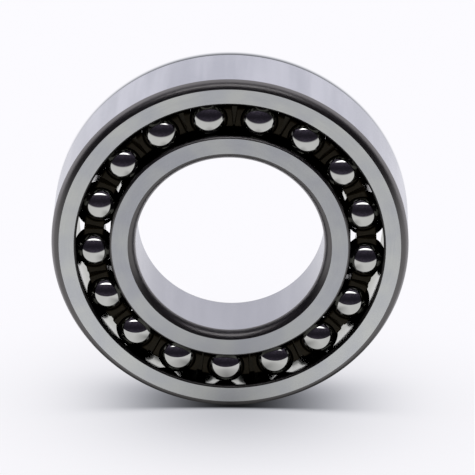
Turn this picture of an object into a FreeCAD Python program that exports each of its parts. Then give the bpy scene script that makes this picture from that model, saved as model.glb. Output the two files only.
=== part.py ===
import FreeCAD, Part

import math
import os

# Self-aligning ball bearing: two rows of balls roll in two grooves of the inner ring and on
# one spherical raceway in the outer ring, so the inner ring, cage and balls tilt together.
# The bearing lies flat on a side face. Its axis is +Z and the origin is its centre.
# All lengths are in millimetres and all angles in degrees.

# Boundary sizes of the whole bearing.
BORE_DIAMETER = 45.0
OUTSIDE_DIAMETER = 85.0
WIDTH = 19.0

# Balls, the least gap that a cage bar needs between two balls of a row, and how far the
# staggered rows reach past each other along the axis.
BALL_DIAMETER = 9.525
BALL_GAP = 2.4
ROW_OVERLAP = 0.325

# The room that the rings and the cage leave round a ball.
RACEWAY_CLEARANCE = 0.06
POCKET_CLEARANCE = 0.14

# Where the upper row's first ball sits, about the axis from +X.
FIRST_BALL_ANGLE = 278.8

# The rings' corners are turned arcs. Grinding the faces afterwards leaves an edge at each
# end of an arc, so the arc turns through less than a right angle.
CORNER_TURN = 55.0

# Outer ring: outer corners, and a small corner at each mouth of the raceway.
OUTER_CORNER_RADIAL = 1.8
OUTER_CORNER_AXIAL = 2.0
MOUTH_CORNER_RADIAL = 0.55
MOUTH_CORNER_AXIAL = 0.6

# Inner ring: groove radius as a share of the ball, how deep a ball sinks below the
# shoulders, the shoulders' corners, and bore corners.
GROOVE_RATIO = 0.52
GROOVE_DEPTH = 1.0
SHOULDER_CORNER_RADIAL = 0.6
SHOULDER_CORNER_AXIAL = 0.7
BORE_CORNER_RADIAL = 1.8
BORE_CORNER_AXIAL = 2.0

# Cage: one moulded ring whose fingers snap round the balls of both rows. Its wall reaches
# inwards and outwards from the balls' pitch circle.
CAGE_REACH_INWARDS = 2.3
CAGE_REACH_OUTWARDS = 2.4
CAGE_EDGE_RADIUS = 0.45
HORN_HEIGHT = 2.5
HORN_LIP_RADIUS = 0.4
HORN_LIP_DROP = 0.3

# Notch between the two snap horns of a finger. It is wider at the outside of the cage.
NOTCH_FLOOR_HEIGHT = 1.0
NOTCH_INNER_WIDTH = 0.5
NOTCH_OUTER_WIDTH = 1.5
NOTCH_FLOOR_RADIUS = 0.2
NOTCH_ROUNDING_LIMIT = 0.9

# How far a cutting solid runs past what it cuts.
CUT_MARGIN = 0.5

BORE_RADIUS = BORE_DIAMETER / 2
OUTSIDE_RADIUS = OUTSIDE_DIAMETER / 2
HALF_WIDTH = WIDTH / 2
BALL_RADIUS = BALL_DIAMETER / 2
PITCH_RADIUS = (BORE_RADIUS + OUTSIDE_RADIUS) / 2
BALLS_PER_ROW = int(2 * math.pi * PITCH_RADIUS / (BALL_DIAMETER + BALL_GAP))
BALL_STEP = 360.0 / BALLS_PER_ROW
ROW_HEIGHT = (BALL_DIAMETER - ROW_OVERLAP) / 2
SHOULDER_RADIUS = PITCH_RADIUS - BALL_RADIUS + GROOVE_DEPTH
GROOVE_RADIUS = GROOVE_RATIO * BALL_DIAMETER
RACEWAY_RADIUS = math.hypot(PITCH_RADIUS, ROW_HEIGHT) + BALL_RADIUS + RACEWAY_CLEARANCE
POCKET_RADIUS = BALL_RADIUS + POCKET_CLEARANCE
CAGE_INNER_RADIUS = PITCH_RADIUS - CAGE_REACH_INWARDS
CAGE_OUTER_RADIUS = PITCH_RADIUS + CAGE_REACH_OUTWARDS
CAGE_HALF_HEIGHT = ROW_HEIGHT + HORN_HEIGHT

ORIGIN = FreeCAD.Vector(0, 0, 0)
AXIS = FreeCAD.Vector(0, 0, 1)
CROSS_AXIS = FreeCAD.Vector(1, 0, 0)
CROSS_TURN = FreeCAD.Vector(0, 1, 0)


def point(radius, height):
    """A point of a turned profile, in the XZ half plane."""
    return FreeCAD.Vector(radius, 0, height)


def rounded(start, corner, end):
    """A quarter ellipse from start to end, tangent to the lines that meet at the corner."""
    curve = Part.BezierCurve()
    curve.setPoles([start, corner, end])
    curve.setWeight(2, math.sqrt(0.5))
    return curve.toShape()


def turned_corner(start, corner, end):
    """A shallow arc between two ground surfaces that would meet at the corner."""
    chord = end - start
    middle = (start + end) / 2
    outward = corner - middle
    outward = (outward - chord * (outward.dot(chord) / chord.dot(chord))).normalize()
    rise = chord.Length / 2 * math.tan(math.radians(CORNER_TURN / 4))
    return Part.Arc(start, middle + outward * rise, end).toShape()


def arc_about(centre, start, end):
    """The shorter arc about a centre, from start to end."""
    middle = (start - centre).normalize() + (end - centre).normalize()
    radius = (start - centre).Length
    return Part.Arc(start, centre + middle.normalize() * radius, end).toShape()


def turned(edges, axis_point=ORIGIN):
    """A solid turned about a line parallel to the bearing's axis, from a closed profile."""
    face = Part.Face(Part.Wire(edges))
    solid = Part.Solid(face.revolve(axis_point, AXIS, 360).Shells[0])
    if solid.Volume < 0:
        solid.reverse()
    return solid


def make_outer_ring():
    """Outer ring: ground faces, turned outer corners and one spherical raceway."""
    mouth_height = HALF_WIDTH - MOUTH_CORNER_AXIAL
    mouth_radius = math.sqrt(RACEWAY_RADIUS ** 2 - mouth_height ** 2)
    face_inner = mouth_radius + MOUTH_CORNER_RADIAL
    face_outer = OUTSIDE_RADIUS - OUTER_CORNER_RADIAL
    side_top = HALF_WIDTH - OUTER_CORNER_AXIAL
    return turned([
        Part.makeLine(point(face_inner, HALF_WIDTH), point(face_outer, HALF_WIDTH)),
        turned_corner(
            point(face_outer, HALF_WIDTH),
            point(OUTSIDE_RADIUS, HALF_WIDTH),
            point(OUTSIDE_RADIUS, side_top),
        ),
        Part.makeLine(point(OUTSIDE_RADIUS, side_top), point(OUTSIDE_RADIUS, -side_top)),
        turned_corner(
            point(OUTSIDE_RADIUS, -side_top),
            point(OUTSIDE_RADIUS, -HALF_WIDTH),
            point(face_outer, -HALF_WIDTH),
        ),
        Part.makeLine(point(face_outer, -HALF_WIDTH), point(face_inner, -HALF_WIDTH)),
        turned_corner(
            point(face_inner, -HALF_WIDTH),
            point(mouth_radius, -HALF_WIDTH),
            point(mouth_radius, -mouth_height),
        ),
        Part.Arc(
            point(mouth_radius, -mouth_height),
            point(RACEWAY_RADIUS, 0),
            point(mouth_radius, mouth_height),
        ).toShape(),
        turned_corner(
            point(mouth_radius, mouth_height),
            point(mouth_radius, HALF_WIDTH),
            point(face_inner, HALF_WIDTH),
        ),
    ])


def contact_line(side):
    """The direction from the bearing's centre to a ball of the +X side.

    side is 1 for the upper row and -1 for the lower row.
    """
    return point(PITCH_RADIUS, side * ROW_HEIGHT).normalize()


def make_groove(side):
    """What one row's ball groove takes away: a ring of round section on the contact line."""
    shift = GROOVE_RADIUS - BALL_RADIUS - RACEWAY_CLEARANCE
    centre = point(PITCH_RADIUS, side * ROW_HEIGHT) + contact_line(side) * shift
    return Part.makeTorus(centre.x, GROOVE_RADIUS, point(0, centre.z), AXIS)


def make_inner_ring():
    """Inner ring: bore with turned corners, two ball grooves and a rib between them."""
    face_inner = BORE_RADIUS + BORE_CORNER_RADIAL
    face_outer = SHOULDER_RADIUS - SHOULDER_CORNER_RADIAL
    bore_top = HALF_WIDTH - BORE_CORNER_AXIAL
    shoulder_top = HALF_WIDTH - SHOULDER_CORNER_AXIAL
    blank = turned([
        Part.makeLine(point(face_inner, HALF_WIDTH), point(face_outer, HALF_WIDTH)),
        turned_corner(
            point(face_outer, HALF_WIDTH),
            point(SHOULDER_RADIUS, HALF_WIDTH),
            point(SHOULDER_RADIUS, shoulder_top),
        ),
        Part.makeLine(point(SHOULDER_RADIUS, shoulder_top), point(SHOULDER_RADIUS, -shoulder_top)),
        turned_corner(
            point(SHOULDER_RADIUS, -shoulder_top),
            point(SHOULDER_RADIUS, -HALF_WIDTH),
            point(face_outer, -HALF_WIDTH),
        ),
        Part.makeLine(point(face_outer, -HALF_WIDTH), point(face_inner, -HALF_WIDTH)),
        turned_corner(
            point(face_inner, -HALF_WIDTH),
            point(BORE_RADIUS, -HALF_WIDTH),
            point(BORE_RADIUS, -bore_top),
        ),
        Part.makeLine(point(BORE_RADIUS, -bore_top), point(BORE_RADIUS, bore_top)),
        turned_corner(
            point(BORE_RADIUS, bore_top),
            point(BORE_RADIUS, HALF_WIDTH),
            point(face_inner, HALF_WIDTH),
        ),
    ])
    return blank.cut([make_groove(1), make_groove(-1)]).Solids[0]


def make_cage_blank():
    """The cage before its pockets: a plain ring with rounded edges."""
    inner, outer, top = CAGE_INNER_RADIUS, CAGE_OUTER_RADIUS, CAGE_HALF_HEIGHT
    edge = CAGE_EDGE_RADIUS
    return turned([
        Part.makeLine(point(inner + edge, top), point(outer - edge, top)),
        rounded(point(outer - edge, top), point(outer, top), point(outer, top - edge)),
        Part.makeLine(point(outer, top - edge), point(outer, edge - top)),
        rounded(point(outer, edge - top), point(outer, -top), point(outer - edge, -top)),
        Part.makeLine(point(outer - edge, -top), point(inner + edge, -top)),
        rounded(point(inner + edge, -top), point(inner, -top), point(inner, edge - top)),
        Part.makeLine(point(inner, edge - top), point(inner, top - edge)),
        rounded(point(inner, top - edge), point(inner, top), point(inner + edge, top)),
    ])


def make_pocket():
    """What one upper pocket takes away: a ball space whose mouth has rounded snap lips.

    The lip's circle touches the pocket's sphere from outside, so the horn that stays
    behind ends in a round tip that the ball snaps past.
    """
    centre = point(PITCH_RADIUS, ROW_HEIGHT)
    lip_height = HORN_HEIGHT - HORN_LIP_DROP
    lip_reach = math.sqrt((POCKET_RADIUS + HORN_LIP_RADIUS) ** 2 - lip_height ** 2)
    lip_centre = centre + point(lip_reach, lip_height)
    lip_start = centre + (lip_centre - centre).normalize() * POCKET_RADIUS
    lip_end = lip_centre + point(0, HORN_LIP_RADIUS)
    bottom = centre - point(0, POCKET_RADIUS)
    top_height = CAGE_HALF_HEIGHT + CUT_MARGIN
    return turned([
        arc_about(centre, bottom, lip_start),
        arc_about(lip_centre, lip_start, lip_end),
        Part.makeLine(lip_end, point(lip_end.x, top_height)),
        Part.makeLine(point(lip_end.x, top_height), point(PITCH_RADIUS, top_height)),
        Part.makeLine(point(PITCH_RADIUS, top_height), bottom),
    ], centre)


def make_notch():
    """What one upper notch takes away: a wedge with a rounded floor, on the +X side."""
    start, end = CAGE_INNER_RADIUS - CUT_MARGIN, CAGE_OUTER_RADIUS + CUT_MARGIN
    spread = (NOTCH_OUTER_WIDTH - NOTCH_INNER_WIDTH) / (CAGE_OUTER_RADIUS - CAGE_INNER_RADIUS)
    half_start = (NOTCH_INNER_WIDTH - spread * CUT_MARGIN) / 2
    half_end = (NOTCH_OUTER_WIDTH + spread * CUT_MARGIN) / 2
    floor = ROW_HEIGHT + NOTCH_FLOOR_HEIGHT
    depth = CAGE_HALF_HEIGHT + CUT_MARGIN - floor
    outline = Part.makePolygon([
        FreeCAD.Vector(start, -half_start, floor),
        FreeCAD.Vector(end, -half_end, floor),
        FreeCAD.Vector(end, half_end, floor),
        FreeCAD.Vector(start, half_start, floor),
        FreeCAD.Vector(start, -half_start, floor),
    ])
    wedge = Part.Face(outline).extrude(AXIS * depth)
    floor_edges = [
        edge for edge in wedge.Edges
        if edge.BoundBox.ZMax < floor + depth / 2 and edge.BoundBox.XLength > CUT_MARGIN
    ]
    radius = min(NOTCH_FLOOR_RADIUS, NOTCH_ROUNDING_LIMIT * half_start)
    return wedge.makeFillet(radius, floor_edges)


def placed(shape, angle, upper):
    """A copy of an upper-row shape, turned to its angle, and flipped for the lower row."""
    copy = shape.copy()
    if not upper:
        copy.rotate(ORIGIN, CROSS_AXIS, 180)
    copy.rotate(ORIGIN, AXIS, angle)
    return copy


def row_angle(index, upper):
    """The angle of one ball. The lower row is turned by half a step from the upper row."""
    stagger = 0.0 if upper else BALL_STEP / 2
    return FIRST_BALL_ANGLE - index * BALL_STEP - stagger


def make_cage():
    """Cage: the blank less the pockets and notches of both rows."""
    pocket, notch = make_pocket(), make_notch()
    cuts = []
    for upper in (True, False):
        for index in range(BALLS_PER_ROW):
            angle = row_angle(index, upper)
            cuts.append(placed(pocket, angle, upper))
            cuts.append(placed(notch, angle + BALL_STEP / 2, upper))
    return make_cage_blank().cut(cuts).Solids[0]


def make_balls():
    """The balls of both rows, by name, numbered clockwise as seen from above.

    A ball's poles lie on its rolling axis, which stands square to the contact line.
    """
    rolling_axis = contact_line(1).cross(CROSS_TURN)
    ball = Part.makeSphere(BALL_RADIUS, point(PITCH_RADIUS, ROW_HEIGHT), rolling_axis)
    balls = {}
    for row_name, upper in (("upper", True), ("lower", False)):
        for index in range(BALLS_PER_ROW):
            name = f"{row_name}_ball_{index + 1:02d}"
            balls[name] = placed(ball, row_angle(index, upper), upper)
    return balls


def main():
    """Build every piece and write each one to its own file."""
    pieces = {
        "outer_ring": make_outer_ring(),
        "inner_ring": make_inner_ring(),
        "cage": make_cage(),
    }
    pieces.update(make_balls())
    os.makedirs("parts", exist_ok=True)
    for name, shape in pieces.items():
        shape.exportStep(os.path.join("parts", f"{name}.step"))
        print(name, "valid", shape.isValid(), "volume", round(shape.Volume, 2))


main()
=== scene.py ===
"""Looks of an open self-aligning ball bearing, built round its fixed CAD frame.

The bearing lies flat on a pale floor with its axis along +Z. The camera looks down on it.
Rings, balls and cage are rebuilt here as fine meshes of the same form as their CAD nodes.
"""

import itertools
import logging
import math
from dataclasses import dataclass, replace
from enum import Enum
from typing import Optional

import bmesh
import bpy
from mathutils import Matrix, Vector


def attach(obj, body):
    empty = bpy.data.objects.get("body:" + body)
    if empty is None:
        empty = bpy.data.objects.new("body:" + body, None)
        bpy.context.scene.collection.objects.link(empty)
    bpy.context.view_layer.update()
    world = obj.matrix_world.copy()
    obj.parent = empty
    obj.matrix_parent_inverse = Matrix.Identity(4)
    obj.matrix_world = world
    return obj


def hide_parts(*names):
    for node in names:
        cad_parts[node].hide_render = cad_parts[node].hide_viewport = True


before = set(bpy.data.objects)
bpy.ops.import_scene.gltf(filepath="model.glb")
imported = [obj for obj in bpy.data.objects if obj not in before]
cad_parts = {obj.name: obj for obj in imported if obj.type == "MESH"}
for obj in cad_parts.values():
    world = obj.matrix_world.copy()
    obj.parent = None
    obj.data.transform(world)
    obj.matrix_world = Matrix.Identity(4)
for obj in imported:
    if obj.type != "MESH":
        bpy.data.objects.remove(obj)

MM = 0.001
LOG = logging.getLogger("bearing")
Z_AXIS = Vector((0.0, 0.0, 1.0))
# Points that lie closer together than this are one point.
WELD = 0.0005 * MM

# Short names of types that many fields and methods use.
Colour = tuple[float, float, float]
Pair = tuple[float, float]
Material = bpy.types.Material
Socket = bpy.types.NodeSocket


class Row(Enum):
    """One of the two rows of balls. The value is the sign of the row's height."""

    UPPER = 1
    LOWER = -1

    @property
    def prefix(self) -> str:
        """The row's word in the names of its balls."""
        return self.name.lower()


class RingFinish(Enum):
    """The finishes of a ring, as material slots in this order."""

    FACE = 0
    SEAT = 1
    CORNER = 2
    RACEWAY = 3
    SHADED_LIP = 4


@dataclass(frozen=True)
class BearingSizes:
    """Driving sizes of the bearing, in metres and degrees. They are the CAD model's own."""

    bore_radius: float = 22.5 * MM
    outside_radius: float = 42.5 * MM
    half_width: float = 9.5 * MM
    ball_radius: float = 4.7625 * MM
    balls_per_row: int = 17
    pitch_radius: float = 32.5 * MM
    row_height: float = 4.6 * MM
    raceway_clearance: float = 0.06 * MM
    pocket_clearance: float = 0.14 * MM
    first_ball_angle: float = 278.8
    corner_turn: float = 55.0

    @property
    def ball_step(self) -> float:
        """Angle between neighbouring balls of a row, in degrees."""
        return 360.0 / self.balls_per_row

    @property
    def raceway_radius(self) -> float:
        """Radius of the outer ring's spherical raceway."""
        reach = math.hypot(self.pitch_radius, self.row_height)
        return reach + self.ball_radius + self.raceway_clearance

    def ball_angle(self, index: int, row: Row) -> float:
        """Angle of one ball about the axis.

        Args:
            index: The ball's place in its row, from 0.
            row: The ball's row.

        Returns:
            The angle from +X, in radians.
        """
        stagger = 0.0 if row is Row.UPPER else self.ball_step / 2
        return math.radians(self.first_ball_angle - index * self.ball_step - stagger)

    def ball_centre(self, index: int, row: Row) -> Vector:
        """Centre of one ball.

        Args:
            index: The ball's place in its row, from 0.
            row: The ball's row.

        Returns:
            The centre in the bearing's frame.
        """
        angle = self.ball_angle(index, row)
        across = Vector((math.cos(angle), math.sin(angle), 0.0)) * self.pitch_radius
        return across + Z_AXIS * (row.value * self.row_height)


def point(radius: float, height: float) -> Vector:
    """A point of a turned outline, in the XZ half plane."""
    return Vector((radius, 0.0, height))


class TurnedOutline:
    """An outline in the XZ half plane that is drawn edge by edge and then turned."""

    def __init__(self, start: Vector) -> None:
        """Start the outline at its first point."""
        self.mesh = bmesh.new()
        self.first = self.last = self.mesh.verts.new(start)

    def line_to(self, end: Vector) -> None:
        """Draw a straight edge.

        Args:
            end: Where the edge ends.
        """
        vertex = self.mesh.verts.new(end)
        self.mesh.edges.new((self.last, vertex))
        self.last = vertex

    def arc_to(self, centre: Vector, end: Vector, steps: int) -> None:
        """Draw the shorter arc about a centre.

        Args:
            centre: The arc's centre.
            end: Where the arc ends, at the same distance from the centre as the last point.
            steps: How many straight edges stand for the arc.
        """
        start_angle = math.atan2(self.last.co.z - centre.z, self.last.co.x - centre.x)
        end_angle = math.atan2(end.z - centre.z, end.x - centre.x)
        turn = math.remainder(end_angle - start_angle, math.tau)
        made = bmesh.ops.spin(
            self.mesh, geom=[self.last], cent=centre, axis=(0.0, -1.0, 0.0),
            angle=turn, steps=steps, use_duplicate=False,
        )
        self.last = next(v for v in made["geom_last"] if isinstance(v, bmesh.types.BMVert))

    def corner_to(self, corner: Vector, end: Vector, turn: float, steps: int) -> None:
        """Draw a shallow arc that turns through less than the corner that it replaces.

        Args:
            corner: Where the two surfaces would meet.
            end: Where the arc ends.
            turn: How far the arc turns, in degrees.
            steps: How many straight edges stand for the arc.
        """
        start = self.last.co.copy()
        chord = end - start
        middle = (start + end) / 2
        inward = middle - corner
        inward = (inward - chord * (inward.dot(chord) / chord.dot(chord))).normalized()
        depth = chord.length / 2 / math.tan(math.radians(turn / 2))
        self.arc_to(middle + inward * depth, end, steps)

    def close(self) -> None:
        """Join the outline's end to its start, by an edge where they are apart."""
        if (self.last.co - self.first.co).length > WELD:
            self.mesh.edges.new((self.last, self.first))
        else:
            bmesh.ops.pointmerge(self.mesh, verts=[self.first, self.last], merge_co=self.first.co)

    def turned(self, sides: int, about: Optional[Vector] = None) -> bmesh.types.BMesh:
        """Turn the outline once round.

        Args:
            sides: How many flat sides stand for the round.
            about: A point on the axis, which is parallel to Z. The default is the origin.

        Returns:
            The turned mesh, with its normals outwards.
        """
        mesh = self.mesh
        bmesh.ops.spin(
            mesh, geom=list(mesh.verts) + list(mesh.edges), cent=about or Vector(),
            axis=Z_AXIS, angle=math.tau, steps=sides, use_merge=True, use_duplicate=False,
        )
        bmesh.ops.remove_doubles(mesh, verts=list(mesh.verts), dist=WELD)
        bmesh.ops.recalc_face_normals(mesh, faces=list(mesh.faces))
        return mesh


def object_from(mesh: bmesh.types.BMesh, name: str) -> bpy.types.Object:
    """Make an object at the origin from a bmesh, and free the bmesh.

    Args:
        mesh: The finished bmesh.
        name: The object's name.

    Returns:
        The new object, linked to the scene.
    """
    data = bpy.data.meshes.new(name)
    mesh.to_mesh(data)
    mesh.free()
    piece = bpy.data.objects.new(name, data)
    bpy.context.scene.collection.objects.link(piece)
    return piece


def shade_smooth(piece: bpy.types.Object, sharp_angle: float) -> None:
    """Shade a piece smooth, apart from edges that are sharper than an angle in degrees."""
    piece.data.shade_smooth()
    piece.data.set_sharp_from_angle(angle=math.radians(sharp_angle))


class NodeBench:
    """Adds and joins nodes in one node tree."""

    def __init__(self, tree: bpy.types.NodeTree) -> None:
        """Start on a tree."""
        self.tree = tree

    def add(
        self, kind: str, inputs: Optional[dict[str, object]] = None, **settings: object,
    ) -> bpy.types.Node:
        """Add a node.

        Args:
            kind: The node's type name.
            inputs: Links, numbers or colours, by the input's name.
            settings: The node's properties, by name. They are set first.

        Returns:
            The new node.
        """
        node = self.tree.nodes.new(kind)
        for key, value in settings.items():
            setattr(node, key, value)
        for key, value in (inputs or {}).items():
            self.put(node.inputs[key], value)
        return node

    def put(self, socket: Socket, value: object) -> None:
        """Give an input a link or a value.

        Args:
            socket: The input.
            value: Another node's output, a number or a colour, which gets full alpha.
        """
        if isinstance(value, Socket):
            self.tree.links.new(value, socket)
        elif isinstance(value, tuple):
            socket.default_value = (*value, 1.0)
        else:
            socket.default_value = value

    def math(self, operation: str, *values: object, clamp: bool = False) -> Socket:
        """Add a Math node.

        Args:
            operation: The node's operation.
            values: Its inputs, as links or numbers.
            clamp: Whether the result is kept between 0 and 1.

        Returns:
            The node's output.
        """
        node = self.add("ShaderNodeMath", operation=operation, use_clamp=clamp)
        for socket, value in zip(node.inputs, values):
            self.put(socket, value)
        return node.outputs["Value"]

    def times(self, first: object, second: object) -> Socket:
        """The product of two values."""
        return self.math("MULTIPLY", first, second)

    def inverse(self, value: Socket) -> Socket:
        """What a value leaves of 1."""
        return self.math("SUBTRACT", 1.0, value)

    def dimmed(self, mask: Socket, depth: float) -> Socket:
        """A factor: 1 where a mask is 0, and 1 less the depth where it is 1."""
        return self.math("MULTIPLY_ADD", mask, -depth, 1.0)

    def length(self, first: Socket, second: Socket) -> Socket:
        """The length of a flat vector, from its two parts."""
        squares = [self.times(part, part) for part in (first, second)]
        return self.math("SQRT", self.math("ADD", *squares))

    def split(self, vector: Socket) -> tuple[Socket, ...]:
        """The X, Y and Z parts of a vector."""
        return tuple(self.add("ShaderNodeSeparateXYZ", {"Vector": vector}).outputs)

    def smooth_step(self, value: Socket, low: float, high: float) -> Socket:
        """A smooth step from 0 at the low value to 1 at the high value."""
        inputs = {"Value": value, "From Min": low, "From Max": high}
        return self.add("ShaderNodeMapRange", inputs, interpolation_type="SMOOTHSTEP").outputs["Result"]

    def mix(self, share: Socket, first: object, second: object) -> Socket:
        """Mix two colours by the second colour's share."""
        inputs = {"Factor": share, "A": first, "B": second}
        return self.add("ShaderNodeMix", inputs, data_type="RGBA").outputs["Result"]

    def first_bounce(self, depth: Socket, later_share: float, counted_first: float = 1.0) -> Socket:
        """Dim what is seen by more than one reflection, which stands in for shade between the parts.

        Args:
            depth: The Ray Depth of the tree's Light Path.
            later_share: What is left after the first reflection.
            counted_first: The depth that the first reflection has. The world counts one more.

        Returns:
            A factor: 1 up to the first reflection and the share after it.
        """
        later = self.math("GREATER_THAN", depth, counted_first + 0.5)
        return self.dimmed(later, 1.0 - later_share)


class EffectLibrary:
    """The node groups that several finishes share. Each is built once."""

    line_detail: float = 3.0
    line_roughness: float = 0.6
    patch_detail: float = 2.0
    patch_edges: Pair = (0.3, 0.7)

    def __init__(self) -> None:
        """Build the groups."""
        self.circular_grain = self._make_circular_grain()
        self.mottle = self._make_mottle()

    @staticmethod
    def _new_group(name: str, numbers: tuple[str, ...], output: str) -> bpy.types.NodeTree:
        """Make an empty group that reads a vector and some numbers.

        Args:
            name: The group's name.
            numbers: The names of the numbers that it reads.
            output: The name of the number that it puts out.

        Returns:
            The group's tree, with its group input and output nodes.
        """
        group = bpy.data.node_groups.new(name, "ShaderNodeTree")
        group.interface.new_socket("Vector", in_out="INPUT", socket_type="NodeSocketVector")
        for number in numbers:
            group.interface.new_socket(number, in_out="INPUT", socket_type="NodeSocketFloat")
        group.interface.new_socket(output, in_out="OUTPUT", socket_type="NodeSocketFloat")
        group.nodes.new("NodeGroupInput")
        group.nodes.new("NodeGroupOutput")
        return group

    def _make_circular_grain(self) -> bpy.types.NodeTree:
        """Fine lines that run round the axis, as turning and grinding leave them.

        Returns:
            The group. Lines Per Metre sets the pitch, Sweep how soon a line changes on its
            way round, and Seed picks another pattern.
        """
        group = self._new_group("Circular grain", ("Lines Per Metre", "Sweep", "Seed"), "Lines")
        bench = NodeBench(group)
        given = group.nodes["Group Input"].outputs
        x, y, z = bench.split(given["Vector"])
        radius = bench.length(x, y)
        place = {"Z": bench.times(radius, given["Lines Per Metre"])}
        for name, part in (("X", x), ("Y", y)):
            place[name] = bench.times(bench.math("DIVIDE", part, radius), given["Sweep"])
        height = bench.times(z, given["Lines Per Metre"])
        noise = bench.add("ShaderNodeTexNoise", {
            "Vector": bench.add("ShaderNodeCombineXYZ", place).outputs["Vector"],
            "W": bench.math("ADD", height, given["Seed"]),
            "Scale": 1.0, "Detail": self.line_detail, "Roughness": self.line_roughness,
        }, noise_dimensions="4D")
        bench.put(group.nodes["Group Output"].inputs["Lines"], noise.outputs["Fac"])
        return group

    def _make_mottle(self) -> bpy.types.NodeTree:
        """Soft cloudy patches.

        Returns:
            The group. Patches Per Metre sets their size and Seed picks another pattern.
        """
        group = self._new_group("Mottle", ("Patches Per Metre", "Seed"), "Patches")
        bench = NodeBench(group)
        given = group.nodes["Group Input"].outputs
        noise = bench.add("ShaderNodeTexNoise", {
            "Vector": given["Vector"], "W": given["Seed"],
            "Scale": given["Patches Per Metre"], "Detail": self.patch_detail,
        }, noise_dimensions="4D")
        patches = bench.smooth_step(noise.outputs["Fac"], *self.patch_edges)
        bench.put(group.nodes["Group Output"].inputs["Patches"], patches)
        return group


class MaterialBench(NodeBench):
    """A material's node tree, with its shader and the object's own coordinates at hand."""

    def __init__(self, name: str) -> None:
        """Start a material.

        Args:
            name: The material's name.
        """
        self.material = bpy.data.materials.new(name)
        self.material.use_nodes = True
        super().__init__(self.material.node_tree)
        self.shader = self.tree.nodes["Principled BSDF"]
        self.place = self.add("ShaderNodeTexCoord").outputs["Object"]

    def group(self, tree: bpy.types.NodeTree, **inputs: float) -> Socket:
        """Place a shared group on the object's coordinates. Its inputs have underscores for spaces."""
        named = {key.replace("_", " "): value for key, value in inputs.items()}
        return self.add("ShaderNodeGroup", {"Vector": self.place, **named}, node_tree=tree).outputs[0]

    def set(self, **inputs: object) -> None:
        """Set inputs of the shader, by name with underscores for spaces."""
        for key, value in inputs.items():
            self.put(self.shader.inputs[key.replace("_", " ")], value)

    def bump(self, height: Socket, depth: float) -> None:
        """Give the shader's normal a bump, a full step of which is so many metres deep."""
        inputs = {"Height": height, "Distance": depth, "Strength": 1.0}
        self.set(Normal=self.add("ShaderNodeBump", inputs).outputs["Normal"])

    def show(self, shader: Socket) -> None:
        """Give the material's surface another shader."""
        self.put(self.tree.nodes["Material Output"].inputs["Surface"], shader)


@dataclass(frozen=True)
class SteelFinish:
    """Bearing steel with marks of its last cut round the axis."""

    name: str
    colour: Colour
    tint: Colour
    roughness: float
    roughness_spread: float
    lines_per_metre: float
    sweep: float
    line_depth: float
    line_share: float
    patches_per_metre: float
    streak_share: float = 0.0
    streak_sweep: float = 9.0
    streaks_per_metre: float = 12.0
    streak_seed: float = 5.0
    streak_edges: Pair = (0.38, 0.62)

    def build(self, effects: EffectLibrary) -> Material:
        """Make the material.

        Args:
            effects: The shared node groups.

        Returns:
            The finished material.
        """
        bench = MaterialBench(self.name)
        lines = bench.group(effects.circular_grain, Lines_Per_Metre=self.lines_per_metre, Sweep=self.sweep)
        patches = bench.group(effects.mottle, Patches_Per_Metre=self.patches_per_metre)
        streaks = bench.group(
            effects.circular_grain,
            Lines_Per_Metre=self.streaks_per_metre, Sweep=self.streak_sweep, Seed=self.streak_seed,
        )
        streaks = bench.smooth_step(streaks, *self.streak_edges)
        patch_share = 1.0 - self.line_share - self.streak_share
        shade = bench.times(lines, self.line_share)
        shade = bench.math("MULTIPLY_ADD", streaks, self.streak_share, shade)
        share = bench.math("MULTIPLY_ADD", patches, patch_share, shade)
        spread = bench.times(bench.math("SUBTRACT", lines, 0.5), self.roughness_spread)
        bench.set(
            Base_Color=bench.mix(share, self.colour, self.tint),
            Roughness=bench.math("ADD", spread, self.roughness),
            Metallic=1.0,
        )
        bench.bump(lines, self.line_depth)
        return bench.material


@dataclass(frozen=True)
class BallFinish:
    """Lapped ball steel: a mirror with a faint film."""

    name: str = "lapped ball steel"
    colour: Colour = (0.84, 0.845, 0.83)
    film: Colour = (0.79, 0.79, 0.77)
    roughness: float = 0.03
    film_roughness: float = 0.05
    patches_per_metre: float = 260.0

    def build(self, effects: EffectLibrary) -> Material:
        """Make the material.

        Args:
            effects: The shared node groups.

        Returns:
            The finished material.
        """
        bench = MaterialBench(self.name)
        patches = bench.group(effects.mottle, Patches_Per_Metre=self.patches_per_metre)
        spread = bench.times(patches, self.film_roughness - self.roughness)
        bench.set(
            Base_Color=bench.mix(patches, self.colour, self.film),
            Roughness=bench.math("ADD", spread, self.roughness),
            Metallic=1.0,
        )
        return bench.material


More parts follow.
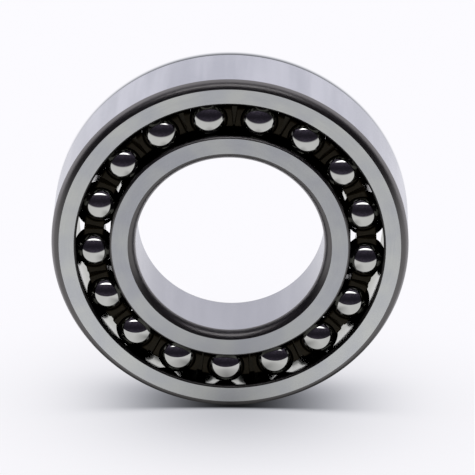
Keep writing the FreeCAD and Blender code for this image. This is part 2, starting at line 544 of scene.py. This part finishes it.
@dataclass(frozen=True)
class CagePlastic:
    """Dark moulded plastic with short glass fibres, dull on its tips and glossy below them."""

    name: str = "moulded cage plastic"
    colour: Colour = (0.0045, 0.0034, 0.0018)
    fibre: Colour = (0.0095, 0.007, 0.004)
    ior: float = 1.53
    sheen: float = 0.26
    sheen_tint: Colour = (1.0, 0.93, 0.76)
    gloss_roughness: float = 0.16
    tip_roughness: float = 0.46
    roughness_spread: float = 0.08
    tip_heights: Pair = (5.8 * MM, 6.4 * MM)
    patches_per_metre: float = 700.0
    fibres_per_metre: float = 6000.0
    fibre_seed: float = 3.0
    skin_depth: float = 0.012 * MM

    def build(self, effects: EffectLibrary) -> Material:
        """Make the material.

        Args:
            effects: The shared node groups.

        Returns:
            The finished material.
        """
        bench = MaterialBench(self.name)
        patches = bench.group(effects.mottle, Patches_Per_Metre=self.patches_per_metre)
        fibres = bench.group(effects.mottle, Patches_Per_Metre=self.fibres_per_metre, Seed=self.fibre_seed)
        height = bench.math("ABSOLUTE", bench.split(bench.place)[2])
        tip = bench.smooth_step(height, *self.tip_heights)
        dulled = bench.times(tip, self.tip_roughness - self.gloss_roughness)
        spread = bench.times(fibres, self.roughness_spread)
        marked = bench.math("ADD", spread, self.gloss_roughness)
        share = bench.times(patches, fibres)
        bench.set(
            Base_Color=bench.mix(share, self.colour, self.fibre),
            Roughness=bench.math("ADD", dulled, marked),
            IOR=self.ior,
            Specular_IOR_Level=self.sheen,
            Specular_Tint=self.sheen_tint,
        )
        bench.bump(patches, self.skin_depth)
        return bench.material


@dataclass
class Ring:
    """A ring of the bearing: a closed outline turned about the axis.

    Its large corners lie beside the seat, and its small ones beside the raceway.
    """

    sizes: BearingSizes
    node: str = ""
    corner_radial: float = 1.8 * MM
    corner_axial: float = 2.0 * MM
    edge_radial: float = 0.0
    edge_axial: float = 0.0
    edge_finish: RingFinish = RingFinish.CORNER
    sides: int = 360
    corner_steps: int = 10
    arc_steps: int = 48
    sharp_angle: float = 14.0
    face_slope: float = 0.99
    seat_slope: float = 0.01

    def outline(self) -> TurnedOutline:
        """Draw the ring's section."""
        raise NotImplementedError

    def beside_seat(self, radius: float) -> bool:
        """Whether a radius is the seat's or one of the large corners'."""
        raise NotImplementedError

    def finish_at(self, radius: float, height: float, slope: float) -> RingFinish:
        """Pick the finish of a face of the mesh.

        Args:
            radius: The face centre's distance from the axis.
            height: The face centre's height.
            slope: The height part of the face's normal.

        Returns:
            The face's finish.
        """
        if abs(slope) > self.face_slope:
            return RingFinish.FACE
        if self.beside_seat(radius):
            return RingFinish.SEAT if abs(slope) < self.seat_slope else RingFinish.CORNER
        if abs(height) > self.sizes.half_width - self.edge_axial:
            return self.edge_finish
        return RingFinish.RACEWAY

    def build(self, finishes: dict[RingFinish, Material]) -> None:
        """Make the ring, riding on its body and standing for its CAD node.

        Args:
            finishes: The material of each finish.
        """
        outline = self.outline()
        outline.close()
        mesh = outline.turned(self.sides)
        for face in mesh.faces:
            centre = face.calc_center_median()
            radius = math.hypot(centre.x, centre.y)
            face.material_index = self.finish_at(radius, centre.z, face.normal.z).value
        ring = object_from(mesh, f"{self.node}_steel")
        for finish in RingFinish:
            ring.data.materials.append(finishes[finish])
        shade_smooth(ring, self.sharp_angle)
        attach(ring, self.node)
        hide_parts(self.node)
        LOG.info("ring %s: %d faces", ring.name, len(ring.data.polygons))


@dataclass
class OuterRing(Ring):
    """The outer ring, with one spherical raceway for both rows."""

    node: str = "outer_ring"
    edge_radial: float = 0.55 * MM
    edge_axial: float = 0.6 * MM
    # The raceway's mouth edges take the lip steel: turned steel made darker still as painted shade.
    edge_finish: RingFinish = RingFinish.SHADED_LIP

    def beside_seat(self, radius: float) -> bool:
        """Whether a radius is the outside's or one of its corners'."""
        return radius > self.sizes.outside_radius - self.corner_radial

    def outline(self) -> TurnedOutline:
        """Draw the ring's section, from the upper face's inner edge outwards."""
        s = self.sizes
        bend = (s.corner_turn, self.corner_steps)
        top = s.half_width
        mouth = top - self.edge_axial
        mouth_radius = math.sqrt(s.raceway_radius ** 2 - mouth ** 2)
        face_inner = mouth_radius + self.edge_radial
        outside = s.outside_radius
        face_outer = outside - self.corner_radial
        side = top - self.corner_axial
        outline = TurnedOutline(point(face_inner, top))
        outline.line_to(point(face_outer, top))
        outline.corner_to(point(outside, top), point(outside, side), *bend)
        outline.line_to(point(outside, -side))
        outline.corner_to(point(outside, -top), point(face_outer, -top), *bend)
        outline.line_to(point(face_inner, -top))
        outline.corner_to(point(mouth_radius, -top), point(mouth_radius, -mouth), *bend)
        outline.arc_to(Vector(), point(mouth_radius, mouth), self.arc_steps)
        outline.corner_to(point(mouth_radius, top), point(face_inner, top), *bend)
        return outline


@dataclass
class InnerRing(Ring):
    """The inner ring, with one groove for each row and a rib between them."""

    node: str = "inner_ring"
    edge_radial: float = 0.6 * MM
    edge_axial: float = 0.7 * MM
    groove_depth: float = 1.0 * MM
    groove_ratio: float = 0.52

    @property
    def shoulder_radius(self) -> float:
        """Radius of the shoulders and of the rib between the grooves."""
        return self.sizes.pitch_radius - self.sizes.ball_radius + self.groove_depth

    def beside_seat(self, radius: float) -> bool:
        """Whether a radius is the bore's or one of its corners'."""
        return radius < self.sizes.bore_radius + self.corner_radial

    def groove(self, row: Row) -> tuple[Vector, Vector, Vector]:
        """Place one ball groove.

        Args:
            row: The groove's row.

        Returns:
            The groove's centre, and its upper and lower edges.
        """
        s = self.sizes
        ball = point(s.pitch_radius, row.value * s.row_height)
        groove_radius = 2 * self.groove_ratio * s.ball_radius
        centre = ball + ball.normalized() * (groove_radius - s.ball_radius - s.raceway_clearance)
        opening = math.sqrt(groove_radius ** 2 - (centre.x - self.shoulder_radius) ** 2)
        upper = point(self.shoulder_radius, centre.z + opening)
        lower = point(self.shoulder_radius, centre.z - opening)
        return centre, upper, lower

    def outline(self) -> TurnedOutline:
        """Draw the ring's section, from the upper face's inner edge outwards."""
        s = self.sizes
        bend = (s.corner_turn, self.corner_steps)
        top = s.half_width
        bore = s.bore_radius
        face_inner = bore + self.corner_radial
        bore_top = top - self.corner_axial
        shoulder = self.shoulder_radius
        face_outer = shoulder - self.edge_radial
        shoulder_top = top - self.edge_axial
        outline = TurnedOutline(point(face_inner, top))
        outline.line_to(point(face_outer, top))
        outline.corner_to(point(shoulder, top), point(shoulder, shoulder_top), *bend)
        for row in Row:
            centre, upper, lower = self.groove(row)
            outline.line_to(upper)
            outline.arc_to(centre, lower, self.arc_steps)
        outline.line_to(point(shoulder, -shoulder_top))
        outline.corner_to(point(shoulder, -top), point(face_outer, -top), *bend)
        outline.line_to(point(face_inner, -top))
        outline.corner_to(point(bore, -top), point(bore, -bore_top), *bend)
        outline.line_to(point(bore, bore_top))
        outline.corner_to(point(bore, top), point(face_inner, top), *bend)
        return outline


@dataclass
class BallSet:
    """The balls of both rows."""

    sizes: BearingSizes
    subdivisions: int = 5

    def build(self, finish: Material) -> None:
        """Make the balls, each riding on its body and standing for its CAD node.

        Args:
            finish: The balls' material.
        """
        for row, index in itertools.product(Row, range(self.sizes.balls_per_row)):
            node = f"{row.prefix}_ball_{index + 1:02d}"
            mesh = bmesh.new()
            bmesh.ops.create_icosphere(
                mesh, subdivisions=self.subdivisions, radius=self.sizes.ball_radius,
                matrix=Matrix.Translation(self.sizes.ball_centre(index, row)),
            )
            ball = object_from(mesh, f"{node}_steel")
            ball.data.materials.append(finish)
            ball.data.shade_smooth()
            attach(ball, node)
            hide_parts(node)
            LOG.info("ball %s: %d faces", ball.name, len(ball.data.polygons))


@dataclass
class Cage:
    """The moulded cage: a ring with a snap pocket for every ball."""

    sizes: BearingSizes
    inner_radius: float = 30.2 * MM
    outer_radius: float = 34.9 * MM
    edge_radius: float = 0.45 * MM
    horn_height: float = 2.5 * MM
    lip_radius: float = 0.4 * MM
    lip_drop: float = 0.3 * MM
    notch_floor_height: float = 1.0 * MM
    notch_inner_width: float = 0.5 * MM
    notch_outer_width: float = 1.5 * MM
    notch_floor_radius: float = 0.15 * MM
    cut_margin: float = 0.5 * MM
    sides: int = 340
    pocket_sides: int = 72
    edge_steps: int = 5
    pocket_steps: int = 24
    lip_steps: int = 8
    notch_steps: int = 4
    sharp_angle: float = 30.0
    soft_edge: float = 0.07 * MM
    soft_edge_steps: int = 2
    soft_edge_angle: float = 35.0

    @property
    def half_height(self) -> float:
        """Height of the horns' tips above the bearing's middle."""
        return self.sizes.row_height + self.horn_height

    def _blank(self) -> bmesh.types.BMesh:
        """The cage before its pockets: a plain ring with rounded edges."""
        inner, outer, top, edge = self.inner_radius, self.outer_radius, self.half_height, self.edge_radius
        outline = TurnedOutline(point(inner + edge, top))
        outline.line_to(point(outer - edge, top))
        outline.arc_to(point(outer - edge, top - edge), point(outer, top - edge), self.edge_steps)
        outline.line_to(point(outer, edge - top))
        outline.arc_to(point(outer - edge, edge - top), point(outer - edge, -top), self.edge_steps)
        outline.line_to(point(inner + edge, -top))
        outline.arc_to(point(inner + edge, edge - top), point(inner, edge - top), self.edge_steps)
        outline.line_to(point(inner, top - edge))
        outline.arc_to(point(inner + edge, top - edge), point(inner + edge, top), self.edge_steps)
        outline.close()
        return outline.turned(self.sides)

    def _pocket(self) -> bmesh.types.BMesh:
        """What one upper pocket takes away: a ball space with rounded snap lips."""
        s = self.sizes
        pocket_radius = s.ball_radius + s.pocket_clearance
        centre = point(s.pitch_radius, s.row_height)
        lip_height = self.horn_height - self.lip_drop
        lip_reach = math.sqrt((pocket_radius + self.lip_radius) ** 2 - lip_height ** 2)
        lip_centre = centre + point(lip_reach, lip_height)
        lip_start = centre + (lip_centre - centre).normalized() * pocket_radius
        lip_end = lip_centre + point(0.0, self.lip_radius)
        top = self.half_height + self.cut_margin
        outline = TurnedOutline(centre - point(0.0, pocket_radius))
        outline.arc_to(centre, lip_start, self.pocket_steps)
        outline.arc_to(lip_centre, lip_end, self.lip_steps)
        outline.line_to(point(lip_end.x, top))
        outline.line_to(point(s.pitch_radius, top))
        return outline.turned(self.pocket_sides, about=centre)

    def _notch(self) -> bmesh.types.BMesh:
        """What one upper notch takes away: a wedge with a rounded floor, on the +X side."""
        start = self.inner_radius - self.cut_margin
        end = self.outer_radius + self.cut_margin
        spread = (self.notch_outer_width - self.notch_inner_width) / (self.outer_radius - self.inner_radius)
        start_width = self.notch_inner_width - spread * self.cut_margin
        end_width = self.notch_outer_width + spread * self.cut_margin
        floor = self.sizes.row_height + self.notch_floor_height
        top = self.half_height + self.cut_margin
        mesh = bmesh.new()
        bmesh.ops.create_cube(mesh, size=1.0)
        bmesh.ops.transform(
            mesh, verts=list(mesh.verts),
            matrix=Matrix.Translation(((start + end) / 2, 0.0, (floor + top) / 2))
            @ Matrix.Diagonal((end - start, 1.0, top - floor, 1.0)),
        )
        for vertex in mesh.verts:
            width = start_width if vertex.co.x < (start + end) / 2 else end_width
            vertex.co.y *= width
        floor_edges = [
            edge for edge in mesh.edges
            if max(v.co.z for v in edge.verts) < (floor + top) / 2 and edge.calc_length() > end_width
        ]
        bmesh.ops.bevel(
            mesh, geom=floor_edges, offset=self.notch_floor_radius, offset_type="OFFSET",
            affect="EDGES", segments=self.notch_steps, profile=0.5, material=-1, clamp_overlap=True,
        )
        return mesh

    def _cutters(self) -> bpy.types.Object:
        """Every pocket and notch, as one object."""
        all_cuts = bmesh.new()
        half_step = math.radians(self.sizes.ball_step / 2)
        for make, shift in ((self._pocket, 0.0), (self._notch, half_step)):
            tool = make()
            single = bpy.data.meshes.new("cage_cut")
            tool.to_mesh(single)
            tool.free()
            for row in Row:
                flip = Matrix() if row is Row.UPPER else Matrix.Rotation(math.pi, 4, "X")
                for index in range(self.sizes.balls_per_row):
                    before = len(all_cuts.verts)
                    all_cuts.from_mesh(single)
                    all_cuts.verts.ensure_lookup_table()
                    turn = Matrix.Rotation(self.sizes.ball_angle(index, row) + shift, 4, "Z")
                    bmesh.ops.transform(all_cuts, matrix=turn @ flip, verts=all_cuts.verts[before:])
            bpy.data.meshes.remove(single)
        return object_from(all_cuts, "cage_cuts")

    def build(self, finish: Material) -> None:
        """Make the cage, riding on its body and standing for its CAD node.

        Args:
            finish: The cage's material.
        """
        cage = object_from(self._blank(), "cage_moulding")
        cutters = self._cutters()
        cut = cage.modifiers.new("pockets", "BOOLEAN")
        cut.operation = "DIFFERENCE"
        cut.solver = "EXACT"
        cut.object = cutters
        depsgraph = bpy.context.evaluated_depsgraph_get()
        cut_mesh = bpy.data.meshes.new_from_object(cage.evaluated_get(depsgraph))
        cage.modifiers.clear()
        cage.data = cut_mesh
        bpy.data.objects.remove(cutters)
        cage.data.materials.clear()
        cage.data.materials.append(finish)
        shade_smooth(cage, self.sharp_angle)
        soften = cage.modifiers.new("soft edges", "BEVEL")
        soften.width = self.soft_edge
        soften.segments = self.soft_edge_steps
        soften.limit_method = "ANGLE"
        soften.angle_limit = math.radians(self.soft_edge_angle)
        soften.harden_normals = True
        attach(cage, "cage")
        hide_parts("cage")
        LOG.info("cage: %d faces before its soft edges", len(cage.data.polygons))


@dataclass(frozen=True)
class ContactShade:
    """The dark line and the soft shade round it where the photo's bearing stands on its rim.

    Aside, behind and before each hold a reach and the power with which the line thins out along it.
    The line's front edge softens to both sides. The soft shade has one reach along X and one along Y.
    """

    place: Pair = (-0.62 * MM, 51.54 * MM)
    aside: Pair = (25.59 * MM, 2.25)
    behind: Pair = (7.66 * MM, 3.65)
    before: Pair = (0.52 * MM, 2.16)
    before_spread: float = 22.0 * MM
    depth: float = 0.985
    soft_reach: Pair = (32.31 * MM, 12.53 * MM)
    soft_fade: float = 1.61
    soft_depth: float = 0.39

    def build(self, bench: NodeBench, across: Socket, along: Socket) -> Socket:
        """Add the shade's nodes.

        Args:
            bench: The floor's bench.
            across: The place on the floor along X.
            along: The place on the floor along Y.

        Returns:
            A factor: 1 far from the contact and near 0 at it.
        """
        x, y = (bench.math("SUBTRACT", part, middle) for part, middle in zip((across, along), self.place))
        spread = bench.math("DIVIDE", x, self.before_spread)
        softening = bench.math("MULTIPLY_ADD", spread, spread, 1.0)
        sides = (
            (bench.math("ABSOLUTE", x), self.aside),
            (bench.math("MAXIMUM", bench.times(y, -1.0), 0.0), self.behind),
            (bench.math("DIVIDE", bench.math("MAXIMUM", y, 0.0), softening), self.before),
        )
        total = 0.0
        for away, (reach, power) in sides:
            total = bench.math("ADD", bench.math("POWER", bench.math("DIVIDE", away, reach), power), total)
        # The dark line and the soft shade round it are painted shadow on the floor.
        line = self._thinned(bench, total, self.depth)
        parts = [bench.math("DIVIDE", part, reach) for part, reach in zip((x, y), self.soft_reach)]
        far = bench.math("POWER", bench.length(*parts), self.soft_fade)
        return bench.times(line, self._thinned(bench, far, self.soft_depth))

    @staticmethod
    def _thinned(bench: NodeBench, away: Socket, depth: float) -> Socket:
        """Thin a shade out exponentially: 1 far away and 1 less the depth at its middle."""
        left = bench.math("EXPONENT", bench.times(away, -1.0))
        return bench.dimmed(left, depth)


@dataclass(frozen=True)
class FloorFinish:
    """Matt white floor that glows a little, as the photo's backdrop is plain white.

    The camera and first reflections see the glow. It is weaker on the side where the shadow falls,
    and a painted cast shade joins the painted contact shade to the rim there. The floor also has
    painted shade under the rim itself.
    """

    name: str = "white floor"
    colour: Colour = (0.90, 0.90, 0.915)
    glow: Colour = (0.972, 0.963, 1.0)
    shaded_glow: Colour = (0.86, 0.89, 1.0)
    cast_shift: float = 7.7 * MM
    cast_edges: Pair = (38.0 * MM, 41.8 * MM)
    cast_shade_depth: float = 0.8
    rim_inner: Pair = (38.0 * MM, 40.5 * MM)
    rim_outer: Pair = (41.7 * MM, 42.6 * MM)
    rim_shade_depth: float = 0.85
    roughness: float = 0.7
    specular: float = 0.2
    outside_edges: Pair = (40.5 * MM, 42.5 * MM)
    front_edges: Pair = (30.0 * MM, 52.0 * MM)
    front_glow: float = 0.85
    contact: ContactShade = ContactShade()
    patches_per_metre: float = 9.0
    patch_level: float = 0.985

    def _shade(self, bench: NodeBench, x: Socket, y: Socket, radius: Socket, outside: Socket) -> Socket:
        """Add the nodes of the painted contact, cast and rim shades.

        Args:
            bench: The floor's bench.
            x: The place on the floor along X.
            y: The place on the floor along Y.
            radius: The place's distance from the axis.
            outside: A mask of the floor outside the bearing.

        Returns:
            A factor: 1 where the floor is plain and near 0 at the contact.
        """
        cast = bench.length(x, bench.math("SUBTRACT", y, self.cast_shift))
        cast = bench.times(bench.inverse(bench.smooth_step(cast, *self.cast_edges)), outside)
        past_rim = bench.smooth_step(radius, *self.rim_outer)
        rim = bench.times(bench.smooth_step(radius, *self.rim_inner), bench.inverse(past_rim))
        shade = self.contact.build(bench, x, y)
        for mask, depth in ((cast, self.cast_shade_depth), (rim, self.rim_shade_depth)):
            shade = bench.times(shade, bench.dimmed(mask, depth))
        return shade

    def build(self, effects: EffectLibrary) -> Material:
        """Make the material.

        Args:
            effects: The shared node groups.

        Returns:
            The finished material.
        """
        bench = MaterialBench(self.name)
        x, y, _ = bench.split(bench.place)
        radius = bench.length(x, y)
        outside = bench.smooth_step(radius, *self.outside_edges)
        shade = self._shade(bench, x, y, radius, outside)
        path = bench.add("ShaderNodeLightPath").outputs
        front = bench.times(outside, bench.smooth_step(y, *self.front_edges))
        shown = bench.dimmed(front, 1.0 - self.front_glow)
        seen = bench.times(shown, path["Is Camera Ray"])
        mirrored = bench.times(path["Is Glossy Ray"], bench.first_bounce(path["Ray Depth"], 0.0))
        patches = bench.group(effects.mottle, Patches_Per_Metre=self.patches_per_metre)
        duller = tuple(part * self.patch_level for part in self.colour)
        paint = bench.mix(patches, self.colour, duller)
        # Painted shade darkens the floor's colour here, and its glow below.
        bench.set(
            Base_Color=bench.mix(shade, (0.0, 0.0, 0.0), paint),
            Roughness=self.roughness,
            Specular_IOR_Level=self.specular,
        )
        glow = bench.add("ShaderNodeEmission", {
            "Color": bench.mix(shade, self.shaded_glow, self.glow), "Strength": shade,
        })
        blend = bench.add("ShaderNodeMixShader", {"Fac": bench.math("MAXIMUM", seen, mirrored)})
        bench.put(blend.inputs[1], bench.shader.outputs["BSDF"])
        bench.put(blend.inputs[2], glow.outputs["Emission"])
        bench.show(blend.outputs["Shader"])
        return bench.material


@dataclass(frozen=True)
class CardFinish:
    """A glowing pale grey card with painted shade: darker towards the bearing's foot, darkest under it."""

    name: str = "glowing card"
    level: float = 0.57
    foot_level: float = 0.15
    foot_reach: float = 80.0 * MM
    foot_height: float = 9.5 * MM
    side_share: float = 2.5
    under_shade_depth: float = 0.92
    under_heights: Pair = (6.0 * MM, 12.0 * MM)
    under_sides: Pair = (25.0 * MM, 70.0 * MM)
    later_share: float = 0.2

    def build(self) -> Material:
        """Make the material."""
        bench = MaterialBench(self.name)
        x, _, z = bench.split(bench.place)
        side = bench.times(x, self.side_share)
        away = bench.length(side, bench.math("SUBTRACT", z, self.foot_height))
        # Painted shade: the card's glow dims towards the bearing's foot, and most low down under its rim.
        pale = bench.math("SQRT", bench.math("DIVIDE", away, self.foot_reach, clamp=True))
        level = bench.math("MULTIPLY_ADD", pale, self.level - self.foot_level, self.foot_level)
        low = bench.inverse(bench.smooth_step(z, *self.under_heights))
        near = bench.inverse(bench.smooth_step(bench.math("ABSOLUTE", x), *self.under_sides))
        under = bench.dimmed(bench.times(low, near), self.under_shade_depth)
        depth = bench.add("ShaderNodeLightPath").outputs["Ray Depth"]
        strength = bench.times(bench.times(level, under), bench.first_bounce(depth, self.later_share))
        bench.show(bench.add("ShaderNodeEmission", {"Strength": strength}).outputs["Emission"])
        bench.tree.nodes.remove(bench.shader)
        return bench.material


class WorldBench(NodeBench):
    """The world's node tree, with the direction that is looked in at hand."""

    def __init__(self, name: str) -> None:
        """Start a world and give it to the scene.

        Args:
            name: The world's name.
        """
        world = bpy.data.worlds.new(name)
        world.use_nodes = True
        bpy.context.scene.world = world
        super().__init__(world.node_tree)
        self.direction = self.add("ShaderNodeTexCoord").outputs["Generated"]
        self.x, self.y, self.z = self.split(self.direction)

    def past_plane(self, angle: float) -> Socket:
        """Find how far the direction lies past a plane through the X axis.

        Args:
            angle: The plane's angle from +Z towards -Y, in degrees.

        Returns:
            The sine of the angle past the plane.
        """
        turn = math.radians(angle)
        across = self.times(self.y, -math.cos(turn))
        return self.math("MULTIPLY_ADD", self.z, -math.sin(turn), across)


@dataclass
class Studio:
    """Floor, reflector card, light tent and lamp.

    Angles of the tent are measured about the X axis, from +Z towards -Y.
    """

    sizes: BearingSizes
    floor_reach: float = 3.0
    card_gap: float = 1.0 * MM
    card_width: float = 0.6
    card_height: float = 130.0 * MM
    table_level: float = 0.57
    table_edge: float = -18.0
    table_softness: float = 0.09
    dark_level: Colour = (0.011, 0.0095, 0.014)
    dusk_level: Colour = (0.058, 0.049, 0.070)
    dark_angle: float = 20.0
    dark_reach: float = 0.55
    dark_patches: float = 13.0
    dark_detail: float = 4.0
    patch_edges: Pair = (0.38, 0.62)
    dusk_share: float = 0.15
    patch_dusk_share: float = 1.3
    patch_share: float = 0.12
    strip_level: float = 2.4
    strip_angle: float = 61.5
    strip_half_height: float = 0.075
    strip_half_width: float = 0.54
    strip_softness: float = 0.3
    back_softness: float = 0.05
    later_share: float = 0.2
    back_level: float = 0.55
    back_edge: float = 88.0
    lamp_level: float = 2.6
    lamp_tilt: float = 38.0
    lamp_spread: float = 60.0

    def build_floor(self, effects: EffectLibrary) -> None:
        """Make the pale floor that the bearing lies on.

        Args:
            effects: The shared node groups.
        """
        mesh = bmesh.new()
        bmesh.ops.create_grid(
            mesh, x_segments=1, y_segments=1, size=self.floor_reach,
            matrix=Matrix.Translation((0.0, 0.0, -self.sizes.half_width)),
        )
        floor = object_from(mesh, "floor")
        floor.data.materials.append(FloorFinish().build(effects))

    def build_card(self) -> None:
        """Make the card on the lower side of the picture, which only reflections see."""
        mesh = bmesh.new()
        foot = -self.sizes.half_width
        centre = Vector((0.0, self.sizes.outside_radius + self.card_gap, (self.card_height + foot) / 2))
        scale = Matrix.Diagonal((self.card_width / 2, (self.card_height - foot) / 2, 1.0, 1.0))
        bmesh.ops.create_grid(
            mesh, x_segments=1, y_segments=1, size=1.0,
            matrix=Matrix.Translation(centre) @ Matrix.Rotation(math.pi / 2, 4, "X") @ scale,
        )
        card = object_from(mesh, "glowing_card")
        card.data.materials.append(CardFinish(level=self.table_level).build())
        card.visible_camera = False
        card.visible_diffuse = False
        card.visible_shadow = False
        card.visible_transmission = False

    def _dark_front(self, bench: WorldBench) -> Socket:
        """The tent's dark front: darkest along one plane and mottled.

        Args:
            bench: The world's bench.

        Returns:
            The front's colour.
        """
        off = bench.math("DIVIDE", bench.past_plane(self.dark_angle), self.dark_reach)
        rise = bench.times(off, off)
        noise = bench.add("ShaderNodeTexNoise", {
            "Vector": bench.direction, "Scale": self.dark_patches, "Detail": self.dark_detail,
        })
        patches = bench.smooth_step(noise.outputs["Fac"], *self.patch_edges)
        share = bench.math("MULTIPLY_ADD", patches, self.patch_dusk_share, self.dusk_share)
        share = bench.times(rise, share)
        share = bench.math("MULTIPLY_ADD", patches, self.patch_share, share, clamp=True)
        return bench.mix(share, self.dark_level, self.dusk_level)

    def _strip(self, bench: WorldBench) -> Socket:
        """A mask of the bright strip: a thin oval that tapers to both sides.

        Args:
            bench: The world's bench.

        Returns:
            The mask: 1 in the strip and 0 outside it.
        """
        off = bench.math("DIVIDE", bench.past_plane(self.strip_angle), self.strip_half_height)
        away = bench.length(off, bench.math("DIVIDE", bench.x, self.strip_half_width))
        beyond = bench.smooth_step(away, 1.0 - self.strip_softness, 1.0 + self.strip_softness)
        above = bench.math("GREATER_THAN", bench.z, 0.0)
        return bench.times(above, bench.inverse(beyond))

    def build_world(self) -> None:
        """Light tent: a pale table side, a dark front, one bright strip and a grey back."""
        bench = WorldBench("light tent")
        table, back = self.table_softness, self.back_softness
        past_table = bench.smooth_step(bench.past_plane(self.table_edge), -table, table)
        past_front = bench.smooth_step(bench.past_plane(self.back_edge), -back, back)
        tent = bench.mix(past_table, (self.table_level,) * 3, self._dark_front(bench))
        tent = bench.mix(past_front, tent, (self.back_level,) * 3)
        tent = bench.mix(self._strip(bench), tent, (self.strip_level,) * 3)
        path = bench.add("ShaderNodeLightPath").outputs
        strength = bench.first_bounce(path["Ray Depth"], self.later_share, counted_first=2.0)
        background = bench.tree.nodes["Background"].inputs
        bench.put(background["Color"], bench.mix(path["Is Camera Ray"], tent, (1.0, 1.0, 1.0)))
        bench.put(background["Strength"], strength)

    def build_lamp(self) -> None:
        """One broad soft lamp from the picture's upper side, not seen in reflections."""
        data = bpy.data.lights.new("broad lamp", "SUN")
        data.energy = self.lamp_level
        data.angle = math.radians(self.lamp_spread)
        lamp = bpy.data.objects.new("broad lamp", data)
        lamp.rotation_euler = (math.radians(self.lamp_tilt), 0.0, 0.0)
        lamp.visible_glossy = False
        bpy.context.scene.collection.objects.link(lamp)


@dataclass
class PhotoCamera:
    """The camera, which looks down on the bearing's upper face."""

    sizes: BearingSizes
    tilt: float = 24.4
    swing: float = -1.0
    distance: float = 1188.0 * MM
    lens_in_frames: float = 5000.0 / 475.0
    sensor_width: float = 36.0
    aim_right: float = 1.84 * MM
    aim_up: float = 2.42 * MM

    def build(self) -> None:
        """Make the camera and give it to the scene."""
        data = bpy.data.cameras.new("camera")
        data.sensor_width = self.sensor_width
        data.lens = self.sensor_width * self.lens_in_frames
        data.clip_start = self.distance / 100
        data.clip_end = self.distance * 100
        tilt, swing = math.radians(self.tilt), math.radians(self.swing)
        right = Vector((-math.cos(swing), 0.0, math.sin(swing)))
        into = Vector((-math.sin(swing), 0.0, -math.cos(swing)))
        lift = Vector((0.0, -1.0, 0.0))
        forward = into * math.cos(tilt) - lift * math.sin(tilt)
        up = into * math.sin(tilt) + lift * math.cos(tilt)
        aim = Z_AXIS * self.sizes.half_width + right * self.aim_right + up * self.aim_up
        turn = Matrix((right, up, -forward)).transposed().to_4x4()
        camera = bpy.data.objects.new("camera", data)
        camera.matrix_world = Matrix.Translation(aim - forward * self.distance) @ turn
        bpy.context.scene.collection.objects.link(camera)
        bpy.context.scene.camera = camera


def steel_finishes(effects: EffectLibrary) -> dict[str, dict[RingFinish, Material]]:
    """Make the rings' steels.

    Args:
        effects: The shared node groups.

    Returns:
        The material of each finish, by ring.
    """
    outer_face = SteelFinish(
        name="outer face steel", colour=(0.88, 0.895, 0.87), tint=(0.73, 0.75, 0.81),
        roughness=0.22, roughness_spread=0.08, lines_per_metre=2600.0, sweep=9.0,
        line_depth=0.0004 * MM, line_share=0.25, patches_per_metre=110.0,
    )
    inner_face = replace(
        outer_face, name="inner face steel", colour=(0.72, 0.735, 0.735), tint=(0.60, 0.615, 0.68),
    )
    outside = SteelFinish(
        name="outside seat steel", colour=(0.585, 0.59, 0.655), tint=(0.435, 0.445, 0.505),
        roughness=0.24, roughness_spread=0.08, lines_per_metre=1200.0, sweep=16.0,
        line_depth=0.0003 * MM, line_share=0.15, patches_per_metre=60.0, streak_share=0.7, streak_sweep=4.5,
    )
    bore = replace(
        outside, name="bore steel", colour=(0.44, 0.445, 0.49), tint=(0.39, 0.395, 0.44), streak_sweep=3.0,
    )
    corner = SteelFinish(
        name="turned corner steel", colour=(0.225, 0.217, 0.222), tint=(0.175, 0.167, 0.168),
        roughness=0.32, roughness_spread=0.06, lines_per_metre=5200.0, sweep=2.0,
        line_depth=0.0001 * MM, line_share=0.5, patches_per_metre=90.0,
    )
    # The lip is the turned corner steel, darker still: partly its own dark turned surface, partly painted
    # shade.
    lip = replace(
        corner, name="turned lip steel with painted shade", colour=(0.075, 0.072, 0.072), tint=(0.05, 0.048, 0.048),
    )
    raceway = SteelFinish(
        name="honed raceway steel", colour=(0.48, 0.49, 0.455), tint=(0.41, 0.415, 0.375),
        roughness=0.12, roughness_spread=0.05, lines_per_metre=4200.0, sweep=5.0,
        line_depth=0.0002 * MM, line_share=0.4, patches_per_metre=80.0,
    )
    shared = {
        RingFinish.CORNER: corner.build(effects),
        RingFinish.RACEWAY: raceway.build(effects),
        RingFinish.SHADED_LIP: lip.build(effects),
    }
    return {
        "outer": {
            RingFinish.FACE: outer_face.build(effects), RingFinish.SEAT: outside.build(effects), **shared,
        },
        "inner": {
            RingFinish.FACE: inner_face.build(effects), RingFinish.SEAT: bore.build(effects), **shared,
        },
    }


def main() -> None:
    """Build the scene round the frame."""
    logging.basicConfig(level=logging.INFO, format="%(message)s")
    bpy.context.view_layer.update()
    bpy.context.scene.view_settings.view_transform = "Standard"
    sizes = BearingSizes()
    effects = EffectLibrary()
    PhotoCamera(sizes).build()
    studio = Studio(sizes)
    studio.build_floor(effects)
    studio.build_card()
    studio.build_world()
    studio.build_lamp()
    steels = steel_finishes(effects)
    OuterRing(sizes).build(steels["outer"])
    InnerRing(sizes).build(steels["inner"])
    BallSet(sizes).build(BallFinish().build(effects))
    Cage(sizes).build(CagePlastic().build(effects))


if __name__ == "__main__":
    main()
